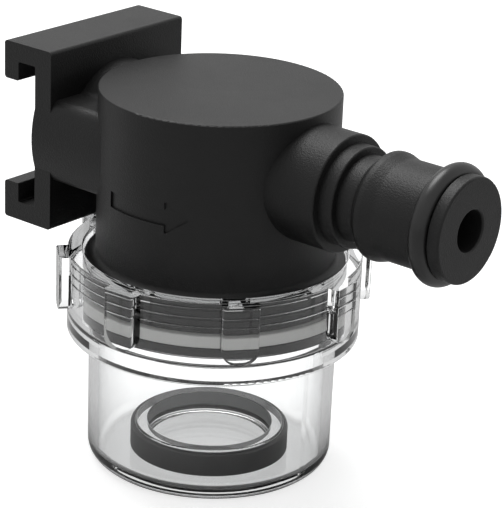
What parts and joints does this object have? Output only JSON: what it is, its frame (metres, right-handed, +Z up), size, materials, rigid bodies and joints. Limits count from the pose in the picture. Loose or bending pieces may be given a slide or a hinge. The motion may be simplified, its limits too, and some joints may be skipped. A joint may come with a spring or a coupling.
{
  "type": "sea water strainer",
  "caption": "Small in-line water strainer: a moulded head with a slide-clip inlet socket, a stepped outlet plug and a clear screw-on bowl over a mesh screen.",
  "frame": {"origin": "middle of the bowl's flat underside", "axes": "+Z up along the bowl's axis, +X along the port line from the inlet plate to the outlet plug"},
  "size_m": [0.1046, 0.0662, 0.0866],
  "materials": {
    "head": "fine-grained moulded black",
    "bowl": "clear, polished",
    "seal": "smooth black rubber",
    "washer": "natural nylon",
    "ring": "smooth dark rubber",
    "oring": "smooth black rubber",
    "frame": "moulded black",
    "mesh": "woven stainless wire"
  },
  "bodies": {
    "head_body": {"head": "head", "plug_oring": "oring", "screen_frame": "frame", "screen_mesh": "mesh"},
    "seal_body": {"bowl_seal": "seal", "slip_washer": "washer"},
    "bowl_body": {"bowl": "bowl", "floor_ring": "ring"}
  },
  "joints": [
    {"name": "bowl_drop", "type": "slide", "parent": "head_body", "child": "seal_body", "axis": [0, 0, -1], "range_m": [0, 0.006]},
    {"name": "bowl_turn", "type": "hinge", "parent": "seal_body", "child": "bowl_body", "pos_m": [0, 0, 0.0416], "axis": [0, 0, -1], "range_deg": [0, 1080]}
  ],
  "couplings": [
    {"joint": "bowl_drop", "follows": "bowl_turn", "m_per_rad": 0.000318}
  ]
}
